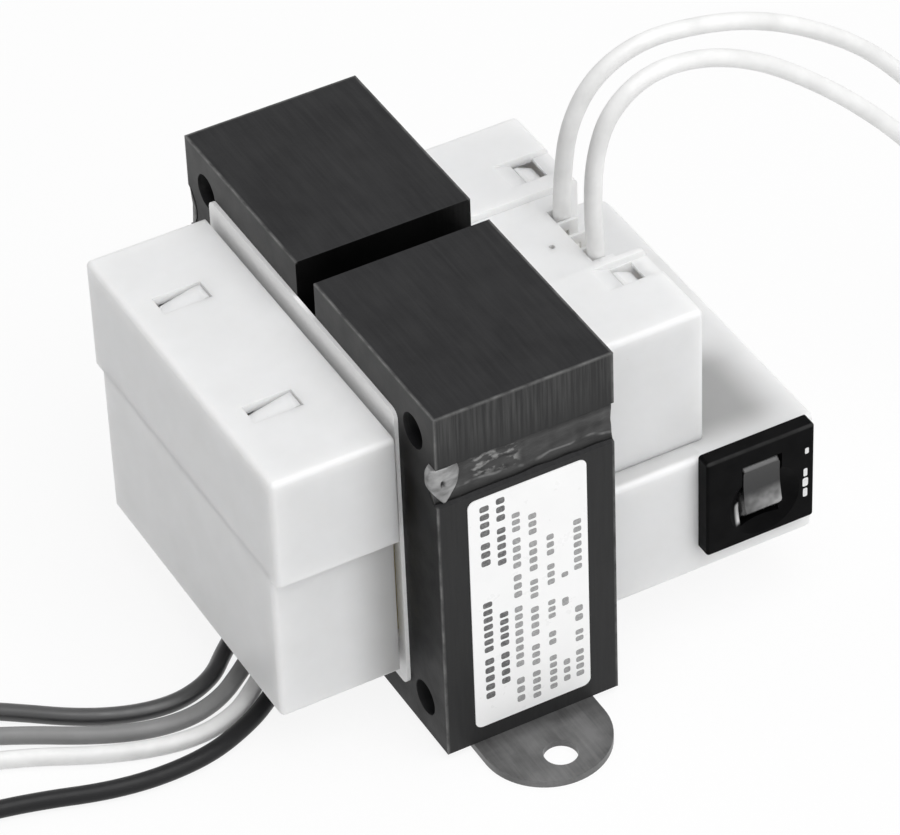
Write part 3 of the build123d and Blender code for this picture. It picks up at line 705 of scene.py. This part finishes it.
for material in (ink_dark, ink_soft):
    bars = []
    for x, width, tone, runs in print_lines:
        if tone is material:
            for top, bottom in runs:
                high = label_high - top * (label_high - label_low)
                low = label_high - bottom * (label_high - label_low)
                count = max(round((high - low) / dash_pitch), 1)
                pitch = (high - low) / count
                for n in range(count):
                    bars.append((x, high - pitch * (n + 0.5), width, pitch * dash_share))
    flat_bars("label_" + material.name, bars, label_face_y - print_lift, material, "label_film")

flat_bars("breaker_marks", breaker_marks, breaker_marks_y, ink_white, "breaker_black")


# Studio

floor_half = 3.0
floor_glow = 0.88
lamp_target = (0, 0, 0.03)


def make_floor():
    """Pale floor that rays from the camera and from gloss see as nearly white, with its shadow kept."""
    bm = bmesh.new()
    bmesh.ops.create_grid(bm, x_segments=4, y_segments=4, size=floor_half)
    mesh = bpy.data.meshes.new("floor")
    bm.to_mesh(mesh)
    bm.free()
    floor = bpy.data.objects.new("floor", mesh)
    scene.collection.objects.link(floor)
    s = Surface("floor", Roughness=0.9)
    s.feed("Base Color", s.ramp(s.noise(400, detail=2), (0.3, 0.86), (0.7, 0.88)))
    white = s.add("Emission", {"Color": grey(1), "Strength": 1.0})
    rays = s.add("LightPath")
    seen = s.math("MAXIMUM", rays.outputs["Is Camera Ray"], rays.outputs["Is Glossy Ray"])
    seen = s.math("MAXIMUM", seen, rays.outputs["Is Transmission Ray"])
    share = s.math("MULTIPLY", seen, floor_glow)
    mix = s.add("MixShader", {0: share, 1: s.shader.outputs[0], 2: white.outputs[0]})
    s.tree.links.new(mix.outputs[0], s.tree.nodes["Material Output"].inputs["Surface"])
    mesh.materials.append(s.material)


def make_world():
    """Even grey light, which those same rays see as white."""
    world = bpy.data.worlds.new("studio")
    scene.world = world
    world.use_nodes = True
    tree = world.node_tree
    rays = tree.nodes.new("ShaderNodeLightPath")
    share = rays.outputs["Is Camera Ray"]
    for ray in ("Is Glossy Ray", "Is Transmission Ray"):
        highest = tree.nodes.new("ShaderNodeMath")
        highest.operation = "MAXIMUM"
        tree.links.new(share, highest.inputs[0])
        tree.links.new(rays.outputs[ray], highest.inputs[1])
        share = highest.outputs[0]
    mix = tree.nodes.new("ShaderNodeMix")
    mix.data_type = "RGBA"
    tree.links.new(share, mix.inputs[mix_factor])
    mix.inputs[mix_first].default_value = grey(0.45)
    mix.inputs[mix_second].default_value = grey(1)
    tree.links.new(mix.outputs[mix_result], tree.nodes["Background"].inputs["Color"])
    tree.nodes["Background"].inputs["Strength"].default_value = 1.0


def make_lamp(name, at, size, watts):
    data = bpy.data.lights.new(name, "AREA")
    data.size = size
    data.energy = watts
    lamp = bpy.data.objects.new(name, data)
    lamp.location = at
    aim = Vector(lamp_target) - Vector(at)
    lamp.rotation_euler = aim.to_track_quat("-Z", "Y").to_euler()
    scene.collection.objects.link(lamp)


make_camera()
make_floor()
make_world()
make_lamp("key", (0.12, -0.42, 1.3), size=1.2, watts=12.6)
make_lamp("fill", (0.35, -1.2, 0.85), size=1.2, watts=3.6)
